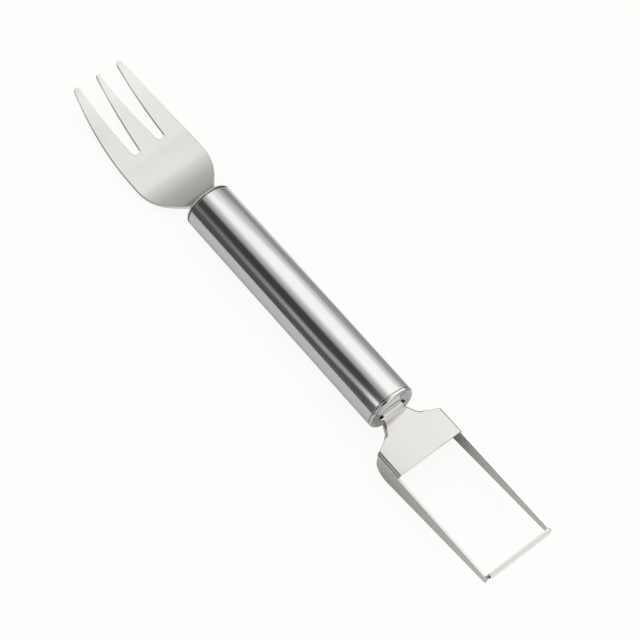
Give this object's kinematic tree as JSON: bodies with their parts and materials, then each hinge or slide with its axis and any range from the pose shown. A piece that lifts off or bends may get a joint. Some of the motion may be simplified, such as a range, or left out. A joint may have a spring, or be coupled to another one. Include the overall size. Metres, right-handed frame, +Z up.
{
  "type": "melon slicer and fork",
  "caption": "Two-ended steel melon tool: a tubular handle with a tined fork on one end and a folded U-shaped slicer with a ground cutting bar on the other.",
  "frame": {"origin": "middle of the tool's length and width, at the level of the lowest point of the slicer's folded sides", "axes": "+X along the handle's axis from the fork to the slicer, +Y across the tool, +Z up out of the slicer's flat web"},
  "size_m": [0.23, 0.0294, 0.0218],
  "materials": {
    "polished_steel": "polished stainless steel",
    "satin_steel": "satin stainless steel sheet",
    "weld_steel": "weld metal, as welded"
  },
  "bodies": {
    "root": {"handle_tube": "polished_steel", "slicer_end_cap": "polished_steel", "fork_end_cap": "polished_steel", "slicer_head": "satin_steel", "fork_head": "satin_steel", "slicer_weld_top": "weld_steel", "slicer_weld_bottom": "weld_steel", "fork_weld_top": "weld_steel", "fork_weld_bottom": "weld_steel"}
  },
  "joints": []
}
